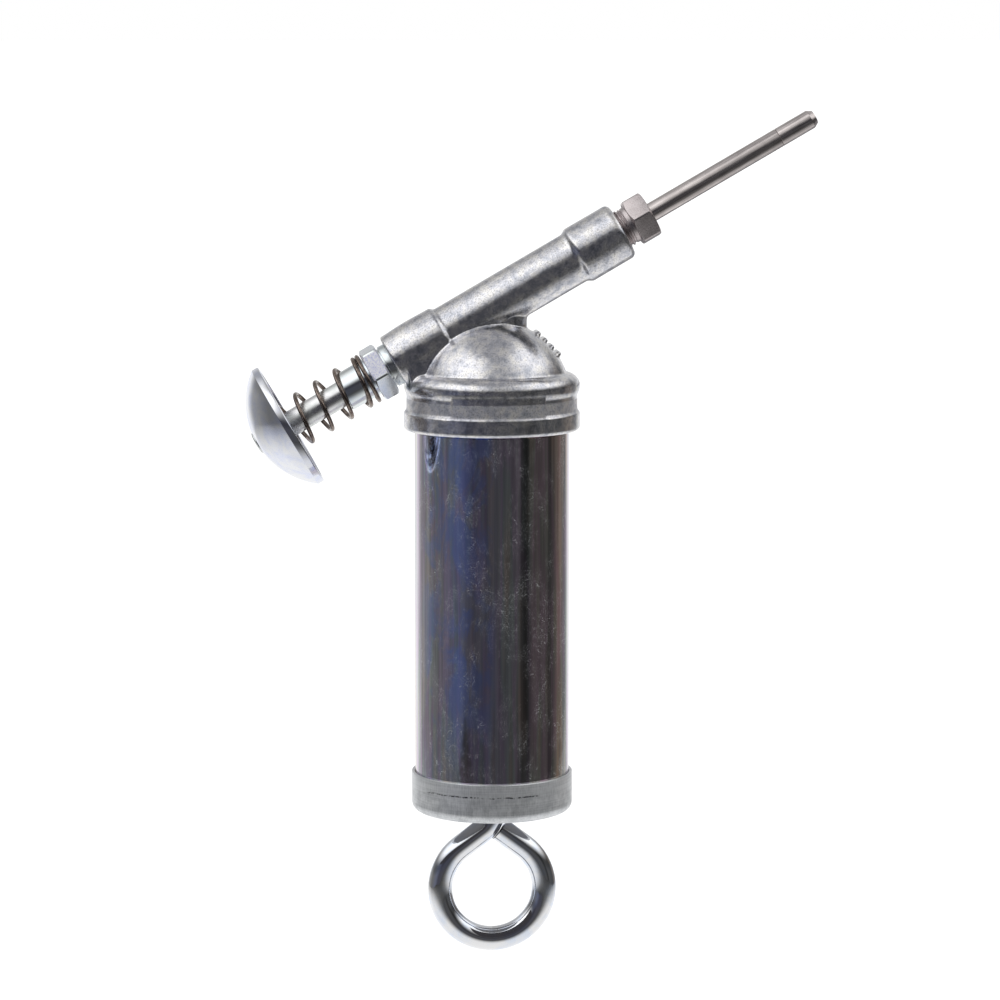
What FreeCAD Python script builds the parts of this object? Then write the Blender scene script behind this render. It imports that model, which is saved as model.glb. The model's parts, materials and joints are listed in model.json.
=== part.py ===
"""Push-type hand lubricator: a palm-pushed pump head on a screw-on barrel with a spring follower.

Frame: +Z runs up the barrel's axis, +X towards the nozzle, and the pump lies in the XZ plane.
The origin is on the barrel's axis, halfway up the bare barrel. All sizes are in millimetres.
"""

import FreeCAD, Part  # noqa: E401

import math
import os

from FreeCAD import Placement, Rotation, Vector

# ---------------------------------------------------------------- driving dimensions
BARREL_R = 19.05            # 1 1/2 in tube
BARREL_WALL = 0.9
BARE_BARREL = 85.0          # between the end cap's rim and the head
PUMP_ANGLE = 30.0           # pump axis above the horizontal
PUMP_DROP = 30.35           # head's lower rim to where the two axes cross
THREAD_DEPTH = 8.6          # barrel inside the head
BARREL_PITCH = 25.4 / 18     # 18 threads to the inch
OUTLET_PITCH = 25.4 / 27     # 27 threads to the inch
RUNNING = 0.05              # radial clearance of a sliding fit
SEATED = 0.02               # gap where two faces rest on each other

HALF = BARE_BARREL / 2
PUMP_Z = HALF + PUMP_DROP
BARREL_IN = BARREL_R - BARREL_WALL
BARREL_TOP = HALF + THREAD_DEPTH

# Stations along the pump axis, counted from where it crosses the barrel's axis.
BOSS_START = -27.8          # face that the gland nut sits on
BOSS_STEP = -13.6
OUTLET_STEP = 24.2
OUTLET_END = 36.9           # face that the outlet fitting comes out of
HEX_START = 39.7
HEX_END = 45.0
TIP_JOINT = 81.6
TIP_END = 91.8
GLAND_INNER = -18.0         # inner end of the gland nut, the plunger's stop
NUT_FACE = -34.1            # face that the return spring pushes on
NUT_BACK = -29.9
NOSE_END = -42.2
GLAND_TURN = -24.8          # where one corner of the hexagon lies, from straight down
OUTLET_TURN = 19.1
KNOB_RIM = -56.9
KNOB_CORNER = -58.6
KNOB_FLAT = -66.3

BOSS_R = 7.5
TUBE_R = 6.5
OUTLET_R = 7.3
PUMP_BORE = 4.0
PISTON_TIP = -8.0
ROD_R = 3.175
GLAND_R = 4.9
OUTLET_THREAD_R = 4.85
SEAT_R = 2.5
SEAT_AT = 17.5
BALL_R = 3.175
CHAMBER_R = 4.3             # room around the check ball
NOZZLE_R = 2.38             # 3/16 in tube
NOZZLE_BORE = 1.2
NECK_R = 2.15               # nozzle tube where it is swaged into the fitting
TIP_BORE = 0.6
TUBE_SOCKET = 33.0
SPRING_POCKET = 24.0        # inner end of the outlet fitting
SPRING_FLOOR = 30.0

KNOB_R = 16.1
KNOB_DOME = 20.2
RIVET_R = 2.85              # head closed over the knob
RIVET_RISE = 0.5
KNOB_WALL = 1.2
KNOB_CENTRE = -46.4         # centre of the knob's spherical dome

DOME_R = 19.44
DOME_DROP = 22.84           # dome's centre below the pump axis
DOME_WALL = 3.0
BEAD_R = 3.2
BEAD_AT = 18.45
BEAD_DROP = 19.56
SKIRT_R = 21.0
RIM_R = 21.7
RIM_TOP = 4.4               # lower bead's height
PAD_R = 21.4                # blank label pad on the band
PAD_HALF_ANGLE = 32.0
GUSSET_HALF = 7.2
POST_R = 5.0                # short post between the dome and the pump tube
POST_AT = 3.6
FACET_LIFT = 45.0           # flat spot on the nozzle side of the dome, above the horizontal
FACET_DEPTH = 0.57
RIB_R = 0.75
RIB_PITCH = 2.33
RIB_HALF = 2.5

CAP_R = 19.9
CAP_WALL = 0.8
CAP_FLOOR = 1.0
CAP_HEIGHT = 9.9
CAP_BOTTOM = -HALF - CAP_HEIGHT

PULL_R = 3.05               # pull rod and eye
EYE_R = 13.0                # centreline of the eye
EYE_Z = PUMP_Z - 145.4
EYE_HALF_ANGLE = 53.0       # each leg of the eye from the vertical
NECK_GAP = 0.15             # where the eye's free end stops beside its neck
EYE_END = 2.35              # bar's square end, this far short of where the legs' axes meet
STACK_LOW = 38.5            # underside of the follower's back plate
STACK_TOP = 43.5
STUD_R = 2.4

UP = Vector(0, 0, 1)
PUMP_FRAME = Placement(Vector(0, 0, PUMP_Z), Rotation(Vector(0, 1, 0), 90 - PUMP_ANGLE))


# ---------------------------------------------------------------- helpers
def outline(points):
    """Closed wire in the XZ plane through (x, z) or (x, z, corner radius) points."""
    corners = []
    for i, point in enumerate(points):
        here = Vector(point[0], 0, point[1])
        if len(point) == 2:
            corners.append((here, None, here))
            continue
        radius = point[2]
        before, after = points[i - 1], points[(i + 1) % len(points)]
        back = (Vector(before[0], 0, before[1]) - here).normalize()
        on = (Vector(after[0], 0, after[1]) - here).normalize()
        half = back.getAngle(on) / 2
        centre = here + (back + on).normalize() * (radius / math.sin(half))
        middle = centre + (here - centre).normalize() * radius
        reach = radius / math.tan(half)
        corners.append((here + back * reach, middle, here + on * reach))
    edges = []
    for i, (start, middle, end) in enumerate(corners):
        if middle:
            edges.append(Part.Arc(start, middle, end).toShape())
        following = corners[(i + 1) % len(corners)][0]
        if (following - end).Length > 1e-6:
            edges.append(Part.LineSegment(end, following).toShape())
    return Part.Wire(edges)


def turned(points):
    """Solid of revolution about Z from a profile of (radius, z) points."""
    return Part.Face(outline(points)).revolve(Vector(), UP, 360)


def rod(radius, low, high):
    """Round bar on the Z axis."""
    return Part.makeCylinder(radius, high - low, Vector(0, 0, low))


def tube(outer, inner, low, high):
    """Round tube on the Z axis."""
    return rod(outer, low, high).cut(rod(inner, low, high))


def hexagon(across_flats, low, high, turn, chamfer=0.7):
    """Hexagon bar on Z with both ends chamfered by turning."""
    corner = across_flats / math.sqrt(3)
    angles = [math.radians(turn + 60 * i) for i in range(7)]
    ring = [Vector(corner * math.cos(a), corner * math.sin(a), low) for a in angles]
    bar = Part.Face(Part.makePolygon(ring)).extrude(UP * (high - low))
    edge = across_flats / 2
    drop = chamfer * math.tan(math.radians(30))
    keep = turned([
        (0, low),
        (edge, low),
        (edge + chamfer, low + drop),
        (edge + chamfer, high - drop),
        (edge, high),
        (0, high),
    ])
    return bar.common(keep)


def o_ring(mean_radius, section_radius, height):
    """Torus about Z at one height."""
    return Part.makeTorus(mean_radius, section_radius, Vector(0, 0, height), UP)


def grooved(minor, major, pitch, low, high):
    """Round bar with parallel V grooves at a screw thread's pitch, standing in for the thread."""
    land = 0.12 * pitch
    profile = [(0, low), (minor, low)]
    for i in range(int((high - low) / pitch)):
        root = low + i * pitch
        profile += [
            (major, root + pitch / 2 - land),
            (major, root + pitch / 2 + land),
            (minor, root + pitch),
        ]
    profile += [(major, high), (0, high)]
    return turned(profile)


def coil_spring(mean_radius, wire_radius, low, high, turns, hand, closed, ramp, start=0.0, chords=12):
    """Compression spring about Z with closed end coils, wound in short straight chords.

    low and high are the end coils' wire centres, and start is the low end's angle in degrees.
    """
    shut = 2 * wire_radius * 1.04
    lift = (high - low - shut * (2 * closed + ramp)) / (turns - 2 * closed - ramp)

    def climbed(turn):
        """Height gained over the first turns, up to the spring's middle."""
        if turn <= closed:
            return shut * turn
        if turn <= closed + ramp:
            part = turn - closed
            return shut * turn + (lift - shut) * part * part / (2 * ramp)
        return shut * (closed + ramp / 2) + lift * (turn - closed - ramp / 2)

    steps = round(turns * chords)
    points = []
    for i in range(steps + 1):
        turn = turns * i / steps
        if turn <= turns / 2:
            height = low + climbed(turn)
        else:
            height = high - climbed(turns - turn)
        angle = math.radians(start) + hand * 2 * math.pi * turn
        points.append(Vector(mean_radius * math.cos(angle), mean_radius * math.sin(angle), height))
    section = Part.Circle(points[0], (points[1] - points[0]).normalize(), wire_radius)
    mitred = 1
    path = Part.makePolygon(points)
    return path.makePipeShell([Part.Wire(section.toShape())], True, False, mitred)


def on_pump(shape):
    """Moves a solid made along Z onto the pump axis."""
    moved = shape.copy()
    moved.Placement = PUMP_FRAME.multiply(moved.Placement)
    return moved


# ---------------------------------------------------------------- pump head
def head_shell():
    """Outside of the casting's cap: dome, two beads and the band between them."""
    bead_z = PUMP_Z - BEAD_DROP
    skirt = turned([
        (0, HALF),
        (RIM_R, HALF, 1.1),
        (RIM_R, HALF + RIM_TOP, 0.7),
        (SKIRT_R, HALF + RIM_TOP + 0.5, 0.4),
        (SKIRT_R, bead_z),
        (0, bead_z),
    ])
    bead = Part.makeTorus(BEAD_AT, BEAD_R, Vector(0, 0, bead_z), UP)
    core = rod(BEAD_AT, HALF + 1, bead_z + BEAD_R)
    dome = Part.makeSphere(DOME_R, Vector(0, 0, PUMP_Z - DOME_DROP))
    above = Part.makeBox(60, 60, 60, Vector(-30, -30, bead_z))
    beyond = on_facet(Part.makeBox(30, 30, 5, Vector(-15, -15, 0)))
    return skirt.fuse([bead, core, dome.common(above).cut(beyond)])


def on_facet(shape):
    """Moves a solid made above the XY plane onto the dome's flat spot."""
    out = Vector(math.cos(math.radians(FACET_LIFT)), 0, math.sin(math.radians(FACET_LIFT)))
    centre = Vector(0, 0, PUMP_Z - DOME_DROP) + out * (DOME_R - FACET_DEPTH)
    moved = shape.copy()
    moved.Placement = Placement(centre, Rotation(Vector(0, 1, 0), 90 - FACET_LIFT))
    return moved


def pump_barrel():
    """Outside of the inclined pump tube with its two end bosses, along Z."""
    middle = rod(TUBE_R, BOSS_STEP - 1, OUTLET_STEP + 1)
    boss = turned([
        (0, BOSS_START),
        (BOSS_R - 0.3, BOSS_START, 0.4),
        (BOSS_R, (BOSS_START + BOSS_STEP) / 2, 40),
        (BOSS_R - 0.2, BOSS_STEP, 0.5),
        (TUBE_R, BOSS_STEP + 0.7, 0.4),
        (TUBE_R, BOSS_STEP + 2),
        (0, BOSS_STEP + 2),
    ])
    outlet = turned([
        (0, OUTLET_STEP - 3),
        (TUBE_R, OUTLET_STEP - 3),
        (TUBE_R, OUTLET_STEP - 0.8, 0.8),
        (OUTLET_R, OUTLET_STEP + 0.4, 0.6),
        (OUTLET_R - 0.05, OUTLET_END, 1.3),
        (0, OUTLET_END),
    ])
    return middle.fuse([boss, outlet])


def gusset():
    """Flat-sided web that carries the gland end of the pump down to the bead."""
    length = BOSS_STEP - BOSS_START
    block = Part.makeBox(14, 2 * GUSSET_HALF, length, Vector(0, -GUSSET_HALF, BOSS_START))
    inboard = Part.makeBox(12, 2 * TUBE_R - 0.6, 9, Vector(0, 0.3 - TUBE_R, BOSS_STEP))
    web = on_pump(block.fuse(inboard))
    inside = turned([
        (0, PUMP_Z - BEAD_DROP),
        (BEAD_AT + 2.8, PUMP_Z - BEAD_DROP),
        (BEAD_AT + 7, PUMP_Z),
        (0, PUMP_Z),
    ])
    return web.common(inside)


def pump_head():
    """Die-cast head: screw cap, grease dome, pump bore, gland port and outlet port."""
    post = Part.makeCylinder(POST_R, 12, Vector(POST_AT, 0, PUMP_Z - 13))
    outside = head_shell().fuse([on_pump(pump_barrel()), gusset(), post]).removeSplitter()
    outside = outside.fuse([maker_pad(), *dome_ribs()])
    seat_z = BARREL_TOP + 1.3
    cavity = Part.makeSphere(DOME_R - DOME_WALL, Vector(0, 0, PUMP_Z - DOME_DROP))
    cavity = cavity.common(Part.makeBox(60, 60, 60, Vector(-30, -30, seat_z - 0.5)))
    thread_bore = turned([
        (0, HALF - 1),
        (BARREL_R + 0.9, HALF - 1),
        (BARREL_R + 0.1, HALF + 0.8),
        (BARREL_R + 0.1, seat_z),
        (0, seat_z),
    ])
    head = outside.cut(cavity).cut(thread_bore)
    head = head.fuse(on_pump(rod(TUBE_R, -20, 18)).common(outside).cut(thread_bore))
    passage = turned([
        (0, BOSS_START - 1),
        (GLAND_R + RUNNING, BOSS_START - 1),
        (GLAND_R + RUNNING, GLAND_INNER),
        (PUMP_BORE, GLAND_INNER),
        (PUMP_BORE, 15.0),
        (SEAT_R, 16.2),
        (SEAT_R, SEAT_AT),
        (CHAMBER_R, SEAT_AT),
        (CHAMBER_R, SPRING_POCKET - 1.5),
        (OUTLET_THREAD_R + RUNNING, SPRING_POCKET - 1.0),
        (OUTLET_THREAD_R + RUNNING, OUTLET_END - 0.5),
        (OUTLET_THREAD_R + RUNNING + 0.5, OUTLET_END + 0.1),
        (0, OUTLET_END + 0.1),
    ])
    port = rod(SEAT_R, PUMP_Z - 12, PUMP_Z)
    return head.cut([on_pump(passage), port])


def maker_pad():
    """Blank raised pad on the band, lapping a little over the beads above and below it."""
    low = HALF + RIM_TOP - 0.3
    high = PUMP_Z - BEAD_DROP - 1.2
    ring = tube(PAD_R, SKIRT_R - 1, low, high)
    half_span = math.radians(PAD_HALF_ANGLE)
    reach = 40
    wedge = Part.Face(Part.makePolygon([
        Vector(0, 0, low),
        Vector(-reach * math.sin(half_span), -reach * math.cos(half_span), low),
        Vector(reach * math.sin(half_span), -reach * math.cos(half_span), low),
        Vector(0, 0, low),
    ])).extrude(UP * (high - low))
    return ring.common(wedge)


def dome_ribs():
    """Four raised grip ribs across the dome's flat spot."""
    ribs = []
    for i in range(4):
        middle = Vector((i - 1.5) * RIB_PITCH, 0, RIB_R / 2)
        end = Vector(0, RIB_HALF, 0)
        bar = Part.makeCylinder(RIB_R, 2 * RIB_HALF, middle - end, Vector(0, 1, 0))
        rib = bar.fuse([Part.makeSphere(RIB_R, middle - end), Part.makeSphere(RIB_R, middle + end)])
        ribs.append(on_facet(rib))
    return ribs


# ---------------------------------------------------------------- gland and plunger
def gland_nut():
    """Hexagon nut with a guide nose, screwed into the head around the plunger."""
    body = hexagon(12.7, NUT_FACE, NUT_BACK, GLAND_TURN)
    nose = turned([
        (0, NOSE_END),
        (GLAND_R - 0.05, NOSE_END, 0.4),
        (GLAND_R - 0.05, NUT_FACE + 1),
        (0, NUT_FACE + 1),
    ])
    collar = rod(5.5, NUT_BACK + 0.4, BOSS_START - SEATED)
    neck = rod(5.1, NUT_BACK - 1, NUT_BACK + 1)
    shank = rod(GLAND_R, BOSS_START - 1, GLAND_INNER - SEATED)
    bore = rod(ROD_R + RUNNING, NOSE_END - 1, GLAND_INNER + 1)
    groove = tube(4.22, ROD_R, -38.7, -37.5)
    return body.fuse([nose, collar, neck, shank]).cut([bore, groove])


def gland_o_ring():
    """Rod seal inside the gland nut's nose."""
    return o_ring(3.7, 0.5, -38.1)


def plunger():
    """Push rod with its piston head at one end and a riveted tenon at the other."""
    return turned([
        (0, KNOB_FLAT - RIVET_RISE),
        (RIVET_R - 0.4, KNOB_FLAT - RIVET_RISE, 0.3),
        (RIVET_R, KNOB_FLAT - 0.2, 0.1),
        (RIVET_R, KNOB_FLAT - SEATED),
        (2.3, KNOB_FLAT - SEATED),
        (2.3, KNOB_FLAT + KNOB_WALL + SEATED),
        (ROD_R, KNOB_FLAT + KNOB_WALL + SEATED),
        (ROD_R, GLAND_INNER),
        (PUMP_BORE - RUNNING, GLAND_INNER, 0.3),
        (PUMP_BORE - RUNNING, -11.9),
        (3.0, -11.9),
        (3.0, -10.5),
        (PUMP_BORE - RUNNING, -10.5),
        (PUMP_BORE - RUNNING, PISTON_TIP, 0.5),
        (0, PISTON_TIP),
    ])


def piston_seal():
    """O-ring in the piston head's groove."""
    return o_ring(3.5, 0.475, -11.2)


def palm_knob():
    """Pressed mushroom knob: a spherical dish with a short straight rim."""
    centre = Vector(0, 0, KNOB_CENTRE)
    rim_clip = Part.makeBox(60, 60, KNOB_CORNER - KNOB_FLAT, Vector(-30, -30, KNOB_FLAT))
    outer = Part.makeSphere(KNOB_DOME, centre).common(rim_clip)
    outer = outer.fuse(rod(KNOB_R, KNOB_CORNER, KNOB_RIM))
    inner_clip = Part.makeBox(60, 60, 20, Vector(-30, -30, KNOB_FLAT + KNOB_WALL))
    inner = Part.makeSphere(KNOB_DOME - KNOB_WALL, centre).common(inner_clip)
    inner = inner.common(rod(KNOB_R - KNOB_WALL, KNOB_FLAT, KNOB_CORNER + 0.5))
    inner = inner.fuse(rod(KNOB_R - KNOB_WALL, KNOB_CORNER, KNOB_RIM + 1))
    return outer.cut([inner, rod(2.32, KNOB_FLAT - 1, KNOB_FLAT + 4)])


def plunger_spring():
    """Left-hand return spring between the gland nut and the knob's dish."""
    wire = 0.525
    high = NUT_FACE - wire - SEATED
    return coil_spring(6.0, wire, -63.78, high, 7.44, -1, 1.25, 0.3, start=250.9, chords=16)


# ---------------------------------------------------------------- outlet
def outlet_fitting():
    """Hexagon fitting that screws into the head and holds the nozzle tube."""
    thread = grooved(4.35, OUTLET_THREAD_R, OUTLET_PITCH, SPRING_POCKET, 38.9)
    neck = rod(OUTLET_THREAD_R - 0.1, 38.6, HEX_START + 0.5)
    body = hexagon(11.11, HEX_START, HEX_END, OUTLET_TURN)
    pocket = rod(3.4, SPRING_POCKET - 1, SPRING_FLOOR)
    passage = rod(NOZZLE_BORE, SPRING_FLOOR - 1, TUBE_SOCKET + 1)
    socket = rod(NECK_R + SEATED, TUBE_SOCKET, HEX_END + 1)
    return thread.fuse([neck, body]).cut([pocket, passage, socket])


def nozzle_tube():
    """Steel tube from the outlet fitting to the tip, swaged down inside the fitting."""
    return turned([
        (NOZZLE_BORE, TUBE_SOCKET + SEATED),
        (NECK_R, TUBE_SOCKET + SEATED),
        (NECK_R, HEX_END + SEATED),
        (NOZZLE_R, HEX_END + SEATED),
        (NOZZLE_R, TIP_JOINT - 0.2),
        (NOZZLE_R - 0.15, TIP_JOINT - SEATED),
        (NOZZLE_BORE, TIP_JOINT - SEATED),
    ])


def nozzle_tip():
    """Hardened tip with a chamfered nose, its spigot inside the tube."""
    return turned([
        (TIP_BORE, TIP_JOINT - 4),
        (NOZZLE_BORE - SEATED, TIP_JOINT - 4),
        (NOZZLE_BORE - SEATED, TIP_JOINT),
        (NOZZLE_R - 0.15, TIP_JOINT),
        (NOZZLE_R, TIP_JOINT + 0.2),
        (NOZZLE_R, TIP_END - 1.3),
        (1.65, TIP_END, 0.15),
        (1.0, TIP_END),
        (TIP_BORE, TIP_END - 0.5),
    ])


def check_ball():
    """Steel ball on the outlet seat."""
    return Part.makeSphere(BALL_R, Vector(0, 0, ball_rest()))


def ball_rest():
    """Station of the ball's centre when it sits on its seat."""
    return SEAT_AT + math.sqrt(BALL_R**2 - SEAT_R**2) + SEATED


def check_spring():
    """Light spring that holds the check ball on its seat."""
    mean, wire = 2.2, 0.25
    low = ball_rest() + math.sqrt((BALL_R + wire) ** 2 - mean**2) + 0.04
    return coil_spring(mean, wire, low, SPRING_FLOOR - wire - SEATED, 7.0, 1, 1.0, 0.5)


# ---------------------------------------------------------------- barrel
def barrel_gasket():
    """Flat ring that seals the barrel's rim against the head."""
    return tube(BARREL_R - 0.05, 16.5, BARREL_TOP + SEATED, BARREL_TOP + 1.3 - SEATED)


def barrel_tube():
    """Steel barrel with a screw thread at its upper end."""
    low = CAP_BOTTOM + CAP_FLOOR + 1.4
    plain = rod(BARREL_R, low, HALF)
    thread = grooved(BARREL_R - 0.5, BARREL_R, BARREL_PITCH, HALF, BARREL_TOP)
    return plain.fuse(thread).cut(rod(BARREL_IN, low - 1, BARREL_TOP + 1))


def end_cap():
    """Pressed steel cap on the barrel's foot, with a keyhole for the pull rod."""
    top = CAP_BOTTOM + CAP_HEIGHT
    floor = CAP_BOTTOM + CAP_FLOOR
    inner = CAP_R - CAP_WALL
    cup = turned([
        (0, CAP_BOTTOM),
        (CAP_R, CAP_BOTTOM, 2.2),
        (CAP_R, top, 0.25),
        (inner, top, 0.25),
        (inner, floor, 1.3),
        (0, floor),
    ])
    hole = rod(PULL_R + 0.1, CAP_BOTTOM - 1, floor + 1)
    notch = Part.makeBox(4.6, 4.6, 4, Vector(0, -2.3, CAP_BOTTOM - 1))
    return cup.cut([hole, notch])


def follower_spring():
    """Long spring that pushes the follower up the barrel."""
    wire = 0.8
    low = CAP_BOTTOM + CAP_FLOOR + wire + SEATED
    return coil_spring(14.5, wire, low, STACK_LOW - wire - SEATED, 12.0, 1, 1.0, 0.5)


# ---------------------------------------------------------------- follower and pull rod
def follower_back_plate():
    """Dished steel plate that the spring pushes on."""
    cup = turned([
        (STUD_R + RUNNING, STACK_LOW),
        (16.6, STACK_LOW, 0.5),
        (16.6, STACK_LOW - 3, 0.3),
        (17.4, STACK_LOW - 3, 0.3),
        (17.4, STACK_LOW + 1.5, 1.3),
        (STUD_R + RUNNING, STACK_LOW + 1.5),
    ])
    return cup


def follower_cup():
    """Rubber cup whose lip wipes the barrel."""
    low = STACK_LOW + 1.5 + SEATED
    return turned([
        (STUD_R + RUNNING, low),
        (BARREL_IN - RUNNING, low, 1.0),
        (BARREL_IN - RUNNING, low + 7),
        (BARREL_IN - 1.2, low + 7),
        (BARREL_IN - 2.4, low + 2, 1.0),
        (STUD_R + RUNNING, low + 2),
    ])


def follower_washer():
    """Steel washer on top of the rubber cup."""
    low = STACK_LOW + 3.5 + 2 * SEATED
    return tube(12.5, STUD_R + RUNNING, low, STACK_TOP - SEATED)


def follower_nut():
    """Hexagon nut on the pull rod's stud."""
    nut = hexagon(8.0, STACK_TOP + SEATED, STACK_TOP + 3.5, 0, chamfer=0.5)
    return nut.cut(rod(STUD_R + 0.01, STACK_TOP - 1, STACK_TOP + 5))


def swept(edges, start, heading, radius=PULL_R):
    """Round bar along a path, of the pull rod's size unless told otherwise."""
    circle = Part.Circle(start, heading, radius)
    return Part.Wire(edges).makePipeShell([Part.Wire(circle.toShape())], True, False)


def pull_rod():
    """Follower rod bent from one bar into a pull eye below the end cap."""
    lean = math.radians(EYE_HALF_ANGLE)
    apex = Vector(0, 0, EYE_Z + EYE_R / math.sin(lean))
    bend = 5.0
    reach = bend * math.tan(lean / 2)
    down_left = Vector(-math.sin(lean), 0, -math.cos(lean))
    bend_start = apex + UP * reach
    bend_end = apex + down_left * reach
    centre = Vector(-bend, 0, bend_start.z)
    middle = centre + (apex - centre).normalize() * bend
    touch = Vector(-EYE_R * math.cos(lean), 0, EYE_Z + EYE_R * math.sin(lean))
    right_touch = Vector(-touch.x, 0, touch.z)
    square_end = apex + (right_touch - apex).normalize() * EYE_END
    left_side = Vector(-EYE_R, 0, EYE_Z)
    right_side = Vector(EYE_R, 0, EYE_Z)
    foot = Vector(0, 0, EYE_Z - EYE_R)
    top = Vector(0, 0, STACK_LOW - 3)
    neck = [
        Part.LineSegment(bend_start + UP * 6, bend_start).toShape(),
        Part.Arc(bend_start, middle, bend_end).toShape(),
        Part.LineSegment(bend_end, touch).toShape(),
    ]
    shank_and_left = swept(
        [
            Part.LineSegment(top, bend_start).toShape(),
            *neck[1:],
            Part.Arc(touch, left_side, foot).toShape(),
        ],
        top,
        Vector(0, 0, -1),
    )
    right = swept(
        [
            Part.Arc(foot, right_side, right_touch).toShape(),
            Part.LineSegment(right_touch, square_end).toShape(),
        ],
        foot,
        Vector(1, 0, 0),
    )
    beside_neck = swept(neck, bend_start + UP * 6, Vector(0, 0, -1), PULL_R + NECK_GAP)
    eye = shank_and_left.fuse(right.cut(beside_neck))
    shoulder = rod(PULL_R, STACK_LOW - 4, STACK_LOW - SEATED)
    stud = turned([
        (0, STACK_LOW - 1),
        (STUD_R, STACK_LOW - 1),
        (STUD_R, STACK_TOP + 5, 0.5),
        (0, STACK_TOP + 5),
    ])
    catch = tube(PULL_R + 1, 2.25, STACK_LOW - 26, STACK_LOW - 24)
    return eye.fuse([shoulder, stud]).removeSplitter().cut(catch)


NODES = {
    "pump_head": pump_head,
    "gland_nut": lambda: on_pump(gland_nut()),
    "gland_o_ring": lambda: on_pump(gland_o_ring()),
    "plunger_rod": lambda: on_pump(plunger()),
    "piston_o_ring": lambda: on_pump(piston_seal()),
    "palm_knob": lambda: on_pump(palm_knob()),
    "return_spring": lambda: on_pump(plunger_spring()),
    "outlet_fitting": lambda: on_pump(outlet_fitting()),
    "nozzle_tube": lambda: on_pump(nozzle_tube()),
    "nozzle_tip": lambda: on_pump(nozzle_tip()),
    "check_ball": lambda: on_pump(check_ball()),
    "check_spring": lambda: on_pump(check_spring()),
    "barrel_gasket": barrel_gasket,
    "barrel_tube": barrel_tube,
    "end_cap": end_cap,
    "follower_spring": follower_spring,
    "follower_back_plate": follower_back_plate,
    "follower_cup": follower_cup,
    "follower_washer": follower_washer,
    "follower_nut": follower_nut,
    "pull_rod": pull_rod,
}


def main():
    os.makedirs("parts", exist_ok=True)
    for name, build in NODES.items():
        shape = build()
        shape.exportStep(os.path.join("parts", name + ".step"))
        print(f"{name}: {len(shape.Solids)} solid(s), {shape.Volume:.1f} mm3, valid {shape.isValid()}")


main()
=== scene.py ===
"""Looks of the push-type hand grease gun: its finished pieces, metals, studio and camera.

Everything is in metres in the model's frame. Profiles of turned pieces are in millimetres along
their own axis, and pieces on the inclined pump are built along Z and then laid onto its axis.
"""

import json
import math

import bpy
import numpy as np
from mathutils import Matrix, Vector


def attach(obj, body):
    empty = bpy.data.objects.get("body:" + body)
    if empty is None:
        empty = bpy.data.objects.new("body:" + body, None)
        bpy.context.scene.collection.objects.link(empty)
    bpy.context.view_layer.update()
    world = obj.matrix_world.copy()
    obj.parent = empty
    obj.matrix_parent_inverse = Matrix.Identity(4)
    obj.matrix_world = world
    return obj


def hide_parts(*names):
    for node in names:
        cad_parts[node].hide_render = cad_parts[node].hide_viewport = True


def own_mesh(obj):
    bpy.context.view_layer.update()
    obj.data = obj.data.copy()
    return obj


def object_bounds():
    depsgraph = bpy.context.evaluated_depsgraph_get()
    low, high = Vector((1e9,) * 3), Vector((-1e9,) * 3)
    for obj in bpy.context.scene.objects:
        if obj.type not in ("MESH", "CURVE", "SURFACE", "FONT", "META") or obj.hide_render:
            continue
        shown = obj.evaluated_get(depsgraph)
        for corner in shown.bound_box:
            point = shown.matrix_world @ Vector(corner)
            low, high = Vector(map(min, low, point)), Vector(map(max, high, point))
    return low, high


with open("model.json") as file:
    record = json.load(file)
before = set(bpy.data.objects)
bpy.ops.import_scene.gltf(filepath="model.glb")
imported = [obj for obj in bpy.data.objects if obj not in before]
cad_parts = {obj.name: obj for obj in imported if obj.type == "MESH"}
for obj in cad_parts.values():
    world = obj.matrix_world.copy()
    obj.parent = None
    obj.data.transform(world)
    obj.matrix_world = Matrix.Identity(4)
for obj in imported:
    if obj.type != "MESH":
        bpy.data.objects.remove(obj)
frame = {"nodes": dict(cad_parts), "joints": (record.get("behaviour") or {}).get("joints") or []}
cad_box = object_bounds()

MM = 0.001
JOINTS = {joint["name"]: joint for joint in frame["joints"]}

# ---------------------------------------------------------------- axes and places from the frame
PUMP_AXIS = Vector(JOINTS["plunger_press"]["axis"]).normalized()
ON_PUMP = Vector(JOINTS["knob_spin"]["pos_m"])
CROSSING = ON_PUMP - PUMP_AXIS * (ON_PUMP.x / PUMP_AXIS.x)   # where the pump meets the barrel's axis
UPRIGHT = Matrix.Identity(4)


def pump_matrix():
    """Lays a piece made along Z onto the pump axis, its own X pointing down and Y to the back."""
    side = Vector((0, 1, 0))
    down = side.cross(PUMP_AXIS)
    turn = Matrix((down, side, PUMP_AXIS)).transposed().to_4x4()
    return Matrix.Translation(CROSSING) @ turn


PUMP = pump_matrix()


def span(node, matrix=UPRIGHT):
    """(lowest, highest, largest radius) of a CAD node along an axis, in millimetres."""
    inverse = matrix.inverted()
    points = np.array([inverse @ v.co for v in frame["nodes"][node].data.vertices]) / MM
    return points[:, 2].min(), points[:, 2].max(), np.hypot(points[:, 0], points[:, 1]).max()


KNOB_LOW, KNOB_RIM, KNOB_R = span("palm_knob", PUMP)
RIVET_END, PISTON_TIP, PISTON_R = span("plunger_rod", PUMP)
NOSE_END, GLAND_INNER, _ = span("gland_nut", PUMP)
OUTLET_INNER, HEX_END, _ = span("outlet_fitting", PUMP)
TUBE_START, TIP_JOINT, NOZZLE_R = span("nozzle_tube", PUMP)
TIP_INNER, TIP_END, _ = span("nozzle_tip", PUMP)
NECK_R = 2.15                 # nozzle tube where it is swaged into the fitting
BARREL_LOW, BARREL_TOP, BARREL_R = span("barrel_tube")
CAP_BOTTOM, CAP_RIM, _ = span("end_cap")
SPRING_LOW, SPRING_HIGH, SPRING_R = span("follower_spring")


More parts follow.
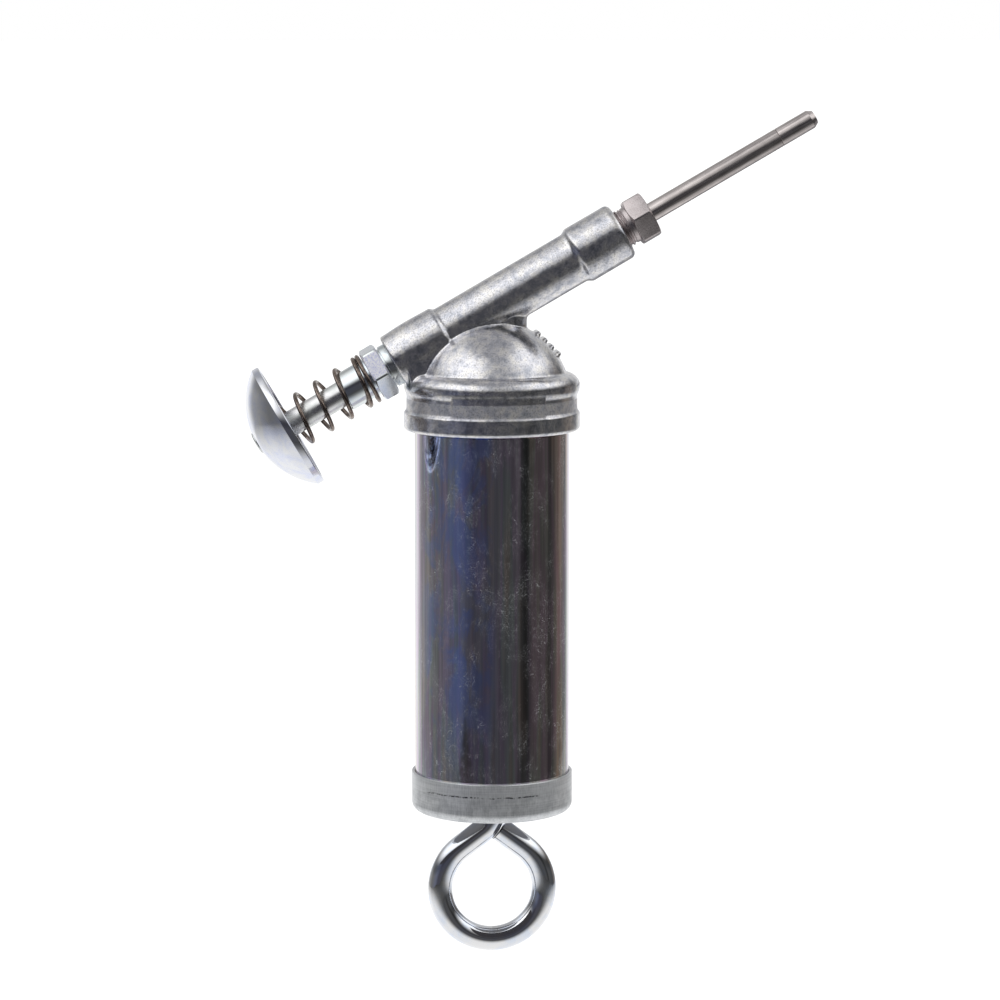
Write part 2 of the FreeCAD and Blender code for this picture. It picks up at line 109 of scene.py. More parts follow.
# ---------------------------------------------------------------- mesh helpers
def rounded(points, steps=4):
    """Profile through (radius, height) points, with arcs at (radius, height, fillet) points."""
    made = []
    for i, point in enumerate(points):
        here = np.array(point[:2], float)
        if len(point) == 2:
            made.append(here)
            continue
        back = np.array(points[i - 1][:2], float) - here
        on = np.array(points[(i + 1) % len(points)][:2], float) - here
        back, on = back / np.linalg.norm(back), on / np.linalg.norm(on)
        half = math.acos(np.clip(back @ on, -1, 1)) / 2
        middle = (back + on) / np.linalg.norm(back + on)
        centre = here + middle * point[2] / math.sin(half)
        first = here + back * point[2] / math.tan(half) - centre
        last = here + on * point[2] / math.tan(half) - centre
        turn = math.acos(np.clip(first @ last / point[2] ** 2, -1, 1))
        for k in range(steps + 1):
            part = k / steps
            mixed = math.sin((1 - part) * turn) * first + math.sin(part * turn) * last
            made.append(centre + mixed / math.sin(turn))
    return made


def arc(centre_height, radius, start, end, steps, side=-1):
    """Points of a ball's outline between two radii from the axis; side -1 is its lower half."""
    rows = [start + (end - start) * k / steps for k in range(steps + 1)]
    return [(r, centre_height + side * math.sqrt(radius**2 - r**2)) for r in rows]


def finish_mesh(name, vertices, faces, matrix, body, material, crease=35):
    """Lays a smooth-shaded mesh into the frame, creased at sharp angles, and rides it on its body."""
    mesh = bpy.data.meshes.new(name)
    mesh.from_pydata([tuple(matrix @ Vector(v)) for v in vertices], [], faces)
    mesh.validate()
    mesh.shade_smooth()
    mesh.set_sharp_from_angle(angle=math.radians(crease))
    piece = bpy.data.objects.new(name, mesh)
    bpy.context.scene.collection.objects.link(piece)
    mesh.materials.append(material)
    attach(piece, body)
    return piece


def lathe(name, profile, matrix, body, material, segments=144, crease=35):
    """Closed ring turned about Z. profile is a list of points, or gives one for each angle.

    A profile that starts and ends on the axis makes a solid; any other closes on itself.
    """
    shape = profile if callable(profile) else lambda angle: profile
    angles = [2 * math.pi * i / segments for i in range(segments)]
    rows = [rounded(shape(angle)) for angle in angles]
    count = len(rows[0])
    on_axis = rows[0][0][0] < 1e-9
    first, last = (1, count - 1) if on_axis else (0, count)
    vertices = []
    for angle, row in zip(angles, rows):
        for r, z in row[first:last]:
            vertices.append((r * math.cos(angle) * MM, r * math.sin(angle) * MM, z * MM))
    width = last - first
    faces = []
    for i in range(segments):
        here, there = i * width, (i + 1) % segments * width
        for j in range(width if not on_axis else width - 1):
            k = (j + 1) % width
            faces.append((here + j, there + j, there + k, here + k))
    if on_axis:
        bottom, top = len(vertices), len(vertices) + 1
        vertices += [(0, 0, rows[0][0][1] * MM), (0, 0, rows[0][-1][1] * MM)]
        for i in range(segments):
            here, there = i * width, (i + 1) % segments * width
            faces.append((bottom, there, here))
            faces.append((top, here + width - 1, there + width - 1))
    return finish_mesh(name, vertices, faces, matrix, body, material, crease)


def hex_radius(across_flats, turn, worn=0.985):
    """Radius of a hexagon bar at each angle, its corners worn a little round."""
    corner = across_flats / math.sqrt(3) * worn

    def radius(angle):
        off = (math.degrees(angle) - turn) % 60 - 30
        return min(across_flats / 2 / math.cos(math.radians(off)), corner)

    return radius


def hex_rows(radius, angle, across_flats, low, high, edge=0.12):
    """Profile points of a hexagon with both ends chamfered by turning."""
    r = radius(angle)
    inner = across_flats / 2 - 0.2
    drop = (r - inner) * math.tan(math.radians(28))
    return [
        (inner, low),
        (r, low + drop, edge),
        (r, high - drop, edge),
        (inner, high),
    ]


def thread_rows(angle, minor, major, pitch, low, high, per_turn=12):
    """Profile points of a right-hand thread whose ridge fades out at both ends."""
    count = round((high - low) / pitch * per_turn)
    rows = []
    for i in range(count + 1):
        height = low + (high - low) * i / count
        phase = ((height - low) / pitch - angle / (2 * math.pi)) % 1
        ridge = min(1.0, max(0.0, 1.25 - abs(phase - 0.5) * 2.6))
        fade = min(1.0, (height - low) / (0.6 * pitch), (high - height) / (0.6 * pitch) + 0.3)
        rows.append((minor + (major - minor) * ridge * fade, height))
    return rows


def swept(name, path, radius, matrix, body, material, sides=20):
    """Round bar along a dense path, in metres, with softly rounded ends."""
    path = np.array(path, float)
    tangents = np.gradient(path, axis=0)
    tangents /= np.linalg.norm(tangents, axis=1, keepdims=True)
    across = np.cross(tangents[0], (0.0, 1.0, 0.0))
    if np.linalg.norm(across) < 0.1:
        across = np.cross(tangents[0], (1.0, 0.0, 0.0))
    rings = []
    for point, tangent in zip(path, tangents):
        across = across - tangent * (across @ tangent)
        across /= np.linalg.norm(across)
        rings.append((point, tangent, across, np.cross(tangent, across)))
    ends = [(0.45, 0.0), (0.8, 0.12), (0.95, 0.3)]
    stations = [(*rings[0], w, -(0.3 - d)) for w, d in ends]
    stations += [(*ring, 1.0, 0.0) for ring in rings[1:-1]]
    stations += [(*rings[-1], w, 0.3 - d) for w, d in reversed(ends)]
    vertices, faces = [], []
    for point, tangent, one, two, width, push in stations:
        for k in range(sides):
            turn = 2 * math.pi * k / sides
            offset = (one * math.cos(turn) + two * math.sin(turn)) * radius * width
            vertices.append(point + offset + tangent * push * radius)
    for i in range(len(stations) - 1):
        for k in range(sides):
            a, b = i * sides + k, i * sides + (k + 1) % sides
            faces.append((a, b, b + sides, a + sides))
    faces.append(tuple(reversed(range(sides))))
    last = (len(stations) - 1) * sides
    faces.append(tuple(range(last, last + sides)))
    return finish_mesh(name, vertices, faces, matrix, body, material, crease=50)


# ---------------------------------------------------------------- material helpers
class Metal:
    """A metal shader: a Principled surface with procedural colour, roughness and bump.

    Its places are measured along the frame's axes, or along those of a matrix's pieces.
    """

    def __init__(self, name, colour, roughness, metallic=1.0, matrix=UPRIGHT):
        self.material = bpy.data.materials.new(name)
        self.material.use_nodes = True
        self.tree = self.material.node_tree
        self.surface = self.tree.nodes["Principled BSDF"]
        self.surface.inputs["Base Color"].default_value = (*colour, 1)
        self.surface.inputs["Roughness"].default_value = roughness
        self.surface.inputs["Metallic"].default_value = metallic
        laid = self.node("ShaderNodeMapping")
        laid.inputs["Location"].default_value = matrix.inverted().to_translation()
        laid.inputs["Rotation"].default_value = matrix.inverted().to_euler()
        self.join(self.node("ShaderNodeTexCoord").outputs["Object"], laid, "Vector")
        self.place = laid.outputs["Vector"]
        self.height = None

    def node(self, kind, **values):
        made = self.tree.nodes.new(kind)
        for key, value in values.items():
            setattr(made, key, value)
        return made

    def join(self, source, node, socket):
        self.tree.links.new(source, node.inputs[socket])

    def noise(self, size_mm, stretch=(1, 1, 1), detail=3.0, rough=0.55, shift=0.0, twist=0.0):
        """Noise of about that grain size, drawn out along an axis by its stretch."""
        mapping = self.node("ShaderNodeMapping")
        mapping.inputs["Scale"].default_value = [1 / (size_mm * MM * s) for s in stretch]
        mapping.inputs["Location"].default_value = (shift, shift * 0.7, shift * 1.3)
        self.join(self.place, mapping, "Vector")
        noise = self.node("ShaderNodeTexNoise")
        noise.inputs["Scale"].default_value = 1.0
        noise.inputs["Detail"].default_value = detail
        noise.inputs["Roughness"].default_value = rough
        noise.inputs["Distortion"].default_value = twist
        self.join(mapping.outputs["Vector"], noise, "Vector")
        return noise.outputs["Fac"]

    def ramp(self, source, stops, smooth=False):
        """Colour or grey ramp over (position, value) stops."""
        made = self.node("ShaderNodeValToRGB")
        if smooth:
            made.color_ramp.interpolation = "EASE"
        elements = made.color_ramp.elements
        while len(elements) < len(stops):
            elements.new(0.5)
        for element, (position, value) in zip(elements, stops):
            element.position = position
            rgb = value if isinstance(value, tuple) else (value,) * 3
            element.color = (*rgb, 1)
        self.join(source, made, "Fac")
        return made.outputs["Color"]

    def mix(self, factor, one, two, blend="MIX"):
        made = self.node("ShaderNodeMix", data_type="RGBA", blend_type=blend)
        for socket, value in ((0, factor), (6, one), (7, two)):
            if isinstance(value, bpy.types.NodeSocket):
                self.tree.links.new(value, made.inputs[socket])
            elif socket == 0:
                made.inputs[0].default_value = value
            else:
                made.inputs[socket].default_value = (*value, 1)
        return made.outputs[2]

    def math(self, operation, one, two=0.0, third=0.0):
        made = self.node("ShaderNodeMath", operation=operation)
        for i, value in enumerate((one, two, third)):
            if isinstance(value, bpy.types.NodeSocket):
                self.tree.links.new(value, made.inputs[i])
            else:
                made.inputs[i].default_value = value
        return made.outputs[0]

    def axis(self, letter):
        """One of the piece's own coordinates, in metres."""
        parts = self.node("ShaderNodeSeparateXYZ")
        self.join(self.place, parts, "Vector")
        return parts.outputs[letter]

    def from_axis(self):
        """Distance from the piece's own Z axis, in metres."""
        x, y = self.axis("X"), self.axis("Y")
        squares = self.math("ADD", self.math("MULTIPLY", x, x), self.math("MULTIPLY", y, y))
        return self.math("SQRT", squares)

    def window(self, value, low, high, soft):
        """1 between two values, fading to 0 over the soft width outside them."""
        rise = self.node("ShaderNodeMapRange", interpolation_type="SMOOTHSTEP")
        fall = self.node("ShaderNodeMapRange", interpolation_type="SMOOTHSTEP")
        for made, start, end in ((rise, low - soft, low), (fall, high + soft, high)):
            self.join(value, made, "Value")
            made.inputs["From Min"].default_value = start
            made.inputs["From Max"].default_value = end
        return self.math("MULTIPLY", rise.outputs[0], fall.outputs[0])

    def colour(self, source):
        self.join(source, self.surface, "Base Color")

    def roughness(self, source):
        self.join(source, self.surface, "Roughness")

    def bump(self, source, depth_mm, strength=1.0):
        """Adds a bump of about that depth to what is there already."""
        made = self.node("ShaderNodeBump")
        made.inputs["Distance"].default_value = depth_mm * MM
        made.inputs["Strength"].default_value = strength
        self.join(source, made, "Height")
        if self.height is not None:
            self.join(self.height, made, "Normal")
        self.height = made.outputs["Normal"]
        self.join(self.height, self.surface, "Normal")


# ---------------------------------------------------------------- materials
def cast_metal():
    """Die-cast head: bright tumbled metal with a fine dark mottling, duller round its band."""
    metal = Metal("die_cast", (0.8, 0.8, 0.82), 0.22, metallic=0.97)
    fine = metal.noise(0.38, detail=4, rough=0.7)
    blotch = metal.noise(2.2, detail=5, rough=0.6, shift=4)
    pits = metal.ramp(fine, [(0.36, 0.25), (0.46, 0.78), (0.55, 1.0)])
    tone = metal.ramp(blotch, [(0.32, (0.52, 0.54, 0.6)), (0.48, (0.78, 0.78, 0.82)),
                               (0.62, (0.95, 0.93, 0.91))])
    metal.colour(metal.mix(0.55, tone, pits, "MULTIPLY"))
    band = metal.window(metal.axis("Z"), 47.3 * MM, 50.2 * MM, 0.5 * MM)
    polish = metal.ramp(blotch, [(0.35, 0.15), (0.65, 0.26)])
    metal.roughness(metal.mix(band, polish, (0.4, 0.4, 0.4)))
    metal.join(metal.math("MULTIPLY_ADD", band, -0.12, 0.97), metal.surface, "Metallic")
    metal.bump(fine, 0.03, 0.45)
    metal.bump(metal.noise(2.2, detail=1, shift=4), 0.05, 0.3)
    return metal.material


def barrel_hues_and_painted_reflections(metal, narrow):
    """Colours over the plating: fine upright streaks, blue to the front left, brown to the right, and
    two dark upright lines on the right that are painted reflections of dark things in the room.
    """
    broad = metal.noise(4.5, stretch=(1, 1, 14), detail=2, shift=3.1)
    patch = metal.noise(7, stretch=(1, 1, 2.2), detail=6, rough=0.62, shift=1.7, twist=0.4)
    hues = metal.ramp(broad, [
        (0.3, (0.84, 0.7, 0.66)),
        (0.42, (0.72, 0.72, 0.74)),
        (0.5, (0.76, 0.64, 0.8)),
        (0.58, (0.68, 0.74, 0.74)),
        (0.7, (0.84, 0.74, 0.66)),
    ])
    streaks = metal.mix(0.6, hues, metal.ramp(narrow, [(0.35, 0.5), (0.65, 1.0)]), "MULTIPLY")
    across = metal.axis("X")
    left = metal.window(across, -15.4 * MM, -3 * MM, 3 * MM)
    blue = metal.math("MULTIPLY", metal.ramp(patch, [(0.46, 0.0), (0.57, 1.0)]), left)
    upper = metal.window(metal.axis("Z"), -18 * MM, 60 * MM, 18 * MM)
    front = metal.window(metal.axis("Y"), -20 * MM, -3 * MM, 6 * MM)
    strong = metal.math("MULTIPLY", metal.math("MULTIPLY_ADD", upper, 0.4, 0.25),
                        metal.math("MULTIPLY_ADD", front, 0.65, 0.35))
    cool = metal.mix(metal.math("MULTIPLY", blue, strong), streaks, (0.4, 0.54, 1.0))
    right = metal.window(across, 8.4 * MM, 15.4 * MM, 1.5 * MM)
    warm = metal.mix(metal.math("MULTIPLY", right, 0.6), cool, (1.0, 0.84, 0.74), "MULTIPLY")
    # painted reflection: two dark upright lines on the right of the tube stand in for dark things in
    # the room seen in the polished metal
    line = metal.window(across, 5.5 * MM, 7.2 * MM, 0.5 * MM)
    edge = metal.window(across, 12.5 * MM, 13.1 * MM, 0.4 * MM)
    dark = metal.math("MULTIPLY", metal.math("MAXIMUM", line, edge), 0.5)
    return metal.mix(dark, warm, (0.1, 0.1, 0.11))


def barrel_metal():
    """Mirror-bright plated tube, with hair scratches and specks gathered in worn patches."""
    metal = Metal("barrel_plate", (0.72, 0.72, 0.73), 0.05)
    narrow = metal.noise(1.1, stretch=(1, 1, 40), detail=3, shift=7.7)
    specks = metal.noise(0.4, detail=5, rough=0.75, shift=9)
    smudge = metal.noise(6, stretch=(1, 1, 1.8), detail=6, rough=0.75, shift=5.5)
    worn = metal.ramp(smudge, [(0.46, 0.0), (0.58, 1.0)])
    dots = metal.ramp(specks, [(0.52, 0.0), (0.6, 1.0)])
    curl = metal.noise(3.4, detail=3, rough=0.5, shift=13, twist=0.8)
    hair = metal.window(curl, 0.497, 0.503, 0.004)
    scraped = metal.math("MAXIMUM", metal.math("MULTIPLY", dots, 0.5), hair)
    marks = metal.math("MULTIPLY", scraped, metal.math("MULTIPLY", worn, 0.62))
    metal.colour(metal.mix(marks, barrel_hues_and_painted_reflections(metal, narrow), (0.85, 0.87, 0.9)))
    film = metal.ramp(smudge, [(0.42, 0.045), (0.58, 0.1)])
    metal.roughness(metal.mix(marks, film, (0.42, 0.42, 0.42)))
    dull = metal.math("ADD", metal.math("MULTIPLY", worn, 0.02), metal.math("MULTIPLY", marks, 0.2))
    metal.join(metal.math("SUBTRACT", 1.0, dull), metal.surface, "Metallic")
    metal.bump(narrow, 0.003, 0.4)
    metal.bump(marks, 0.006, 0.4)
    return metal.material


def cap_metal():
    """Pressed cap: pale brushed plate, fine upright ticks, a broken scuff, and painted shade darkening
    its underside.
    """
    metal = Metal("cap_plate", (0.7, 0.71, 0.72), 0.34, metallic=0.8)
    ticks = metal.noise(0.22, stretch=(1, 1, 9), detail=3, shift=2)
    rings = metal.noise(0.35, stretch=(40, 40, 1), detail=2, shift=6)
    wander = metal.noise(4.0, detail=2, shift=11)
    height = metal.math("MULTIPLY_ADD", wander, 0.7 * MM, metal.axis("Z"))
    scuff_at = (CAP_RIM - 2.95) * MM
    line = metal.window(height, scuff_at - 0.1 * MM, scuff_at + 0.12 * MM, 0.12 * MM)
    across = metal.axis("X")
    left = metal.window(across, -16 * MM, -5 * MM, 1.5 * MM)
    right = metal.window(across, -1.5 * MM, 9 * MM, 1.5 * MM)
    broken = metal.ramp(metal.noise(1.1, detail=4, rough=0.75, shift=8), [(0.44, 0.0), (0.54, 1.0)])
    placed = metal.math("MULTIPLY", metal.math("ADD", left, right), broken)
    scuff = metal.math("MULTIPLY", line, placed)
    pale = metal.mix(0.5, metal.ramp(ticks, [(0.3, 0.5), (0.6, 0.9)]),
                     metal.ramp(rings, [(0.35, 0.55), (0.6, 0.85)]))
    low = metal.window(metal.axis("Z"), (CAP_BOTTOM + 1.0) * MM, (CAP_RIM - 4.4) * MM, 1.2 * MM)
    cloud = metal.ramp(metal.noise(2.6, detail=5, rough=0.7, shift=14), [(0.36, 0.55), (0.6, 1.0)])
    shaded = metal.mix(metal.math("MULTIPLY_ADD", low, 0.5, 0.25), pale, cloud, "MULTIPLY")
    toned = metal.mix(0.25, shaded, (0.7, 0.77, 0.84))
    scuffed = metal.mix(scuff, toned, (0.07, 0.07, 0.08))
    # painted shade: the underside inside the rim is darkened as if in shadow, so the ring below shows
    # it dark in reflection
    under = metal.window(metal.axis("Z"), (CAP_BOTTOM - 1) * MM, (CAP_BOTTOM + 0.2) * MM, 0.1 * MM)
    dull = metal.math("MULTIPLY", under, metal.window(metal.from_axis(), 0.0, 17.4 * MM, 0.4 * MM))
    metal.colour(metal.mix(dull, scuffed, (0.16, 0.16, 0.17)))
    metal.roughness(metal.ramp(ticks, [(0.35, 0.28), (0.65, 0.4)]))
    metal.bump(ticks, 0.01, 0.5)
    metal.bump(scuff, 0.03, -0.6)
    return metal.material


def bright_plate(name, colour, tint, roughness, grain=0.3):
    """Bright zinc plate with a faint tint and small roughness changes."""
    metal = Metal(name, colour, roughness, matrix=PUMP)
    cloud = metal.noise(4.0, detail=4, rough=0.6, twist=0.3)
    fine = metal.noise(grain, detail=3, shift=3)
    metal.colour(metal.mix(metal.ramp(cloud, [(0.42, 0.0), (0.66, 1.0)]), colour, tint))
    metal.roughness(metal.ramp(cloud, [(0.35, roughness * 0.7), (0.7, roughness * 1.6)]))
    metal.bump(fine, 0.004, 0.35)
    return metal.material


def gland_metal():
    """Bright nose and collar, and a hexagon frosted on its front, with corners worn bright."""
    metal = Metal("gland_plate", (0.84, 0.85, 0.88), 0.12, matrix=PUMP)
    out = metal.from_axis()
    down = metal.axis("X")
    hexagon = metal.window(out, 5.62 * MM, 9 * MM, 0.05 * MM)
    above = metal.window(down, -5.8 * MM, 0.55 * MM, 0.1 * MM)
    corner = metal.window(out, 7.1 * MM, 9 * MM, 0.06 * MM)
    frosted = metal.math("MULTIPLY", hexagon, metal.math("MULTIPLY_ADD", above, 0.75, 0.25))
    frosted = metal.math("MULTIPLY", frosted, metal.math("SUBTRACT", 1.0, corner))
    flake = metal.noise(0.4, detail=5, rough=0.75)
    frost = metal.ramp(flake, [(0.4, (0.62, 0.65, 0.86)), (0.5, (0.86, 0.87, 1.0)), (0.58, (1, 1, 1))])
    cloud = metal.noise(4.0, detail=4, rough=0.6, twist=0.3)
    smooth = metal.ramp(cloud, [(0.42, (0.8, 0.84, 0.84)), (0.66, (0.74, 0.82, 0.9))])
    metal.colour(metal.mix(frosted, smooth, frost))
    metal.roughness(metal.mix(frosted, (0.11, 0.11, 0.11), (0.5, 0.5, 0.5)))
    metal.join(metal.math("MULTIPLY_ADD", frosted, -0.5, 1.0), metal.surface, "Metallic")
    metal.bump(flake, 0.01, 0.4)
    return metal.material


def turned_steel(name, colour, dark, roughness, lay):
    """Drawn or turned steel, with fine marks along its lay."""
    metal = Metal(name, colour, roughness, matrix=PUMP)
    marks = metal.noise(0.25, stretch=lay, detail=3)
    cloud = metal.noise(3.0, detail=3, shift=5)
    toned = metal.mix(metal.ramp(marks, [(0.3, 0.0), (0.65, 1.0)]), dark, colour)
    metal.colour(metal.mix(0.35, toned, metal.ramp(cloud, [(0.35, 0.45), (0.65, 0.95)]), "MULTIPLY"))
    metal.roughness(metal.ramp(marks, [(0.3, roughness * 0.8), (0.7, roughness * 1.4)]))
    metal.bump(marks, 0.006, 0.5)
    return metal.material


def rubber():
    """Matt black rubber."""
    made = Metal("seal_rubber", (0.025, 0.025, 0.027), 0.75, metallic=0.0)
    made.bump(made.noise(0.3, detail=4), 0.02, 0.4)
    return made.material


CAST = cast_metal()
BARREL_PLATE = barrel_metal()
CAP_PLATE = cap_metal()
KNOB_PLATE = bright_plate("knob_plate", (0.86, 0.87, 0.9), (0.74, 0.78, 0.94), 0.11)
PLUNGER_PLATE = bright_plate("plunger_plate", (0.84, 0.84, 0.85), (0.76, 0.8, 0.78), 0.28)
GLAND_PLATE = gland_metal()
RING_PLATE = bright_plate("ring_plate", (0.94, 0.94, 0.95), (0.8, 0.86, 0.97), 0.06)
NOZZLE_STEEL = turned_steel("nozzle_steel", (0.88, 0.82, 0.8), (0.6, 0.54, 0.53), 0.22, (1, 1, 30))
OUTLET_STEEL = turned_steel("outlet_plate", (0.8, 0.74, 0.74), (0.52, 0.46, 0.46), 0.3, (1, 1, 1))
SPRING_STEEL = turned_steel("spring_wire", (0.38, 0.31, 0.27), (0.15, 0.12, 0.1), 0.18, (3, 3, 3))
INNER_STEEL = turned_steel("inner_steel", (0.6, 0.6, 0.6), (0.42, 0.42, 0.42), 0.3, (8, 8, 8))
RUBBER = rubber()


# ---------------------------------------------------------------- pieces
def make_knob():
    """Pressed mushroom knob: a spherical crown, a rounded corner and a short skirt."""
    wall, corner, flat, hole = 1.2, 1.7, 3.4, 2.32
    crown, inner_r = 20.2, KNOB_R - wall
    centre = KNOB_LOW + math.sqrt(crown**2 - flat**2)
    shoulder = KNOB_RIM - corner
    outer = arc(centre, crown, flat, KNOB_R - 0.25, 26)
    inner = arc(centre, crown - wall, inner_r - 0.3, flat - 1.0, 24)
    profile = [(hole, KNOB_LOW)] + outer + [
        (KNOB_R, shoulder, 0.2),
        (KNOB_R, KNOB_RIM, 0.35),
        (inner_r, KNOB_RIM, 0.35),
    ] + inner + [(hole, KNOB_LOW + wall)]
    knob = lathe("knob", profile, PUMP, "plunger", KNOB_PLATE, crease=50)
    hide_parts("palm_knob")


def make_plunger():
    """Rod riveted over the knob at one end, with the grooved piston at the other."""
    rod_r, tenon_r, rivet_r, gap = 3.175, 2.3, 2.85, 0.02
    seat = KNOB_LOW + 1.2 + gap
    profile = [
        (0, RIVET_END),
        (rivet_r - 0.6, RIVET_END, 0.5),
        (rivet_r, RIVET_END + 0.28, 0.1),
        (rivet_r, KNOB_LOW - gap),
        (tenon_r, KNOB_LOW - gap),
        (tenon_r, seat),
        (rod_r, seat, 0.15),
        (rod_r, GLAND_INNER),
        (PISTON_R, GLAND_INNER, 0.3),
        (PISTON_R, PISTON_TIP - 3.9),
        (3.0, PISTON_TIP - 3.9),
        (3.0, PISTON_TIP - 2.5),
        (PISTON_R, PISTON_TIP - 2.5),
        (PISTON_R, PISTON_TIP, 0.5),
        (0, PISTON_TIP),
    ]
    piece = lathe("plunger", profile, PUMP, "plunger", PLUNGER_PLATE)
    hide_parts("plunger_rod")


def make_gland_nut():
    """Guide nose, hexagon and collar, bored for the plunger rod."""
    bore, nose_r, across, turn = 3.225, 4.85, 12.7, -24.8
    face, back, seat = NOSE_END + 8.1, NOSE_END + 12.3, NOSE_END + 14.38
    radius = hex_radius(across, turn)

    def profile(angle):
        return [
            (bore, NOSE_END, 0.2),
            (nose_r, NOSE_END, 0.45),
            (nose_r, face),
            *hex_rows(radius, angle, across, face, back),
            (5.1, back),
            (5.1, back + 0.4),
            (5.5, back + 0.4, 0.12),
            (5.5, seat, 0.12),
            (4.9, seat),
            (4.9, GLAND_INNER),
            (bore, GLAND_INNER),
        ]

    nut = lathe("gland", profile, PUMP, "head", GLAND_PLATE, segments=240, crease=28)
    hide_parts("gland_nut")


def make_outlet():
    """Fitting with its thread showing, a hexagon and the nozzle's socket."""
    across, turn, pitch, minor, major = 11.11, 19.1, 25.4 / 27, 4.35, 4.85
    hex_start = HEX_END - 5.3
    thread_end = hex_start - 1.1
    radius = hex_radius(across, turn)

    def profile(angle):
        return [
            (3.4, OUTLET_INNER),
            (minor - 0.1, OUTLET_INNER),
            *thread_rows(angle, minor, major, pitch, OUTLET_INNER + 0.3, thread_end),
            (major - 0.2, thread_end + 0.2),
            (major - 0.1, hex_start),
            *hex_rows(radius, angle, across, hex_start, HEX_END),
            (NECK_R + 0.02, HEX_END),
            (NECK_R + 0.02, TUBE_START - 0.02),
            (1.2, TUBE_START - 0.02),
            (1.2, TUBE_START - 3.0),
            (3.4, TUBE_START - 3.0),
        ]

    nut = lathe("outlet", profile, PUMP, "head", OUTLET_STEEL, 240, crease=28)
    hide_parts("outlet_fitting")


def make_nozzle():
    """Nozzle tube, swaged into its socket, and the tip joined to its end."""
    bore = 1.2
    tube = lathe("nozzle", [
        (bore, TUBE_START),
        (NECK_R, TUBE_START),
        (NECK_R, HEX_END + 0.02),
        (NOZZLE_R - 0.1, HEX_END + 0.02),
        (NOZZLE_R, HEX_END + 0.12),
        (NOZZLE_R, TIP_JOINT - 0.06, 0.05),
        (bore, TIP_JOINT - 0.02),
    ], PUMP, "head", NOZZLE_STEEL)
    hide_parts("nozzle_tube")
    tip = lathe("tip", [
        (0.6, TIP_INNER),
        (bore - 0.02, TIP_INNER),
        (bore - 0.02, TIP_JOINT),
        (NOZZLE_R - 0.12, TIP_JOINT),
        (NOZZLE_R, TIP_JOINT + 0.12),
        (NOZZLE_R, TIP_END - 1.3, 0.3),
        (1.65, TIP_END, 0.2),
        (1.0, TIP_END, 0.1),
        (0.6, TIP_END - 0.5),
    ], PUMP, "head", NOZZLE_STEEL)
    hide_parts("nozzle_tip")


def make_barrel():
    """Plain tube with a thread inside the head."""
    inner, pitch, depth = BARREL_R - 0.9, 25.4 / 18, 0.5
    thread_start = BARREL_TOP - 8.6

    def profile(angle):
        return [
            (inner, BARREL_LOW),
            (BARREL_R, BARREL_LOW),
            (BARREL_R, thread_start - 0.4),
            *thread_rows(angle, BARREL_R - depth, BARREL_R, pitch, thread_start, BARREL_TOP - 0.3),
            (BARREL_R - depth - 0.05, BARREL_TOP),
            (inner, BARREL_TOP),
        ]

    tube = lathe("barrel", profile, UPRIGHT, "barrel", BARREL_PLATE, 256)
    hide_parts("barrel_tube")


def coil(radius, wire, low, high, turns, hand, closed, ramp, start=0.0, per_turn=48):
    """Centreline of a spring about Z in millimetres, with closed end coils."""
    shut = 2 * wire * 1.04
    lift = (high - low - shut * (2 * closed + ramp)) / (turns - 2 * closed - ramp)

    def climbed(turn):
        if turn <= closed:
            return shut * turn
        if turn <= closed + ramp:
            part = turn - closed
            return shut * turn + (lift - shut) * part * part / (2 * ramp)
        return shut * (closed + ramp / 2) + lift * (turn - closed - ramp / 2)

    points = []
    steps = round(turns * per_turn)
    for i in range(steps + 1):
        turn = turns * i / steps
        height = low + climbed(turn) if turn <= turns / 2 else high - climbed(turns - turn)
        angle = math.radians(start) + hand * 2 * math.pi * turn
        points.append((radius * math.cos(angle), radius * math.sin(angle), height))
    return points


def make_return_spring():
    """Left-hand spring, sagging a little off the rod's axis as a loose spring does."""
    wire, radius, droop, slant = 0.525, 6.0, 0.6, math.tan(math.radians(3))
    low, _, _ = span("return_spring", PUMP)
    high = NOSE_END + 8.1
    first, last = low + wire, high - wire - 0.02
    line = []
    for x, y, z in coil(radius, wire, first, last, 7.44, -1, 1.25, 0.3, start=250.9):
        free = min(1.0, (last - z) / 6.0, (z - first) / 3.0)
        sag = droop * (last - z) / (last - first)
        line.append((x + sag, y, z + x * slant * max(free, 0.0)))
    spring = swept("spring", np.array(line) * MM, wire * MM, PUMP, "knob_spring",
                   SPRING_STEEL)
    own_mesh(spring)
    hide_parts("return_spring")


def make_check_spring():
    """Small spring behind the check ball."""
    low, high, reach = span("check_spring", PUMP)
    wire = 0.25
    line = coil(reach - wire, wire, low + wire, high - wire, 7, 1, 1.0, 0.5, per_turn=32)
    spring = swept("valve_spring", np.array(line) * MM, wire * MM, PUMP, "head",
                   INNER_STEEL, sides=10)
    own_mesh(spring)
    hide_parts("check_spring")


def make_follower_spring():
    """Long spring between the end cap and the follower."""
    wire = 0.8
    line = coil(SPRING_R - wire, wire, SPRING_LOW + wire, SPRING_HIGH - wire, 12, 1, 1.0, 0.5)
    spring = swept("long_spring", np.array(line) * MM, wire * MM, UPRIGHT, "barrel",
                   SPRING_STEEL, sides=12)
    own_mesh(spring)
    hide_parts("follower_spring")


def melt(piece, name, times, spread=None):
    """Smooths a mesh, everywhere or fading out where spread(point) reaches 1."""
    smooth = piece.modifiers.new(name, "SMOOTH")
    smooth.factor = 0.5
    smooth.iterations = times
    if spread:
        group = piece.vertex_groups.new(name=name)
        for vertex in piece.data.vertices:
            weight = 1 - spread(vertex.co)
            if weight > 0:
                group.add([vertex.index], min(1.0, 2 * weight), "REPLACE")
        smooth.vertex_group = name
    bpy.ops.object.modifier_apply(modifier=name)


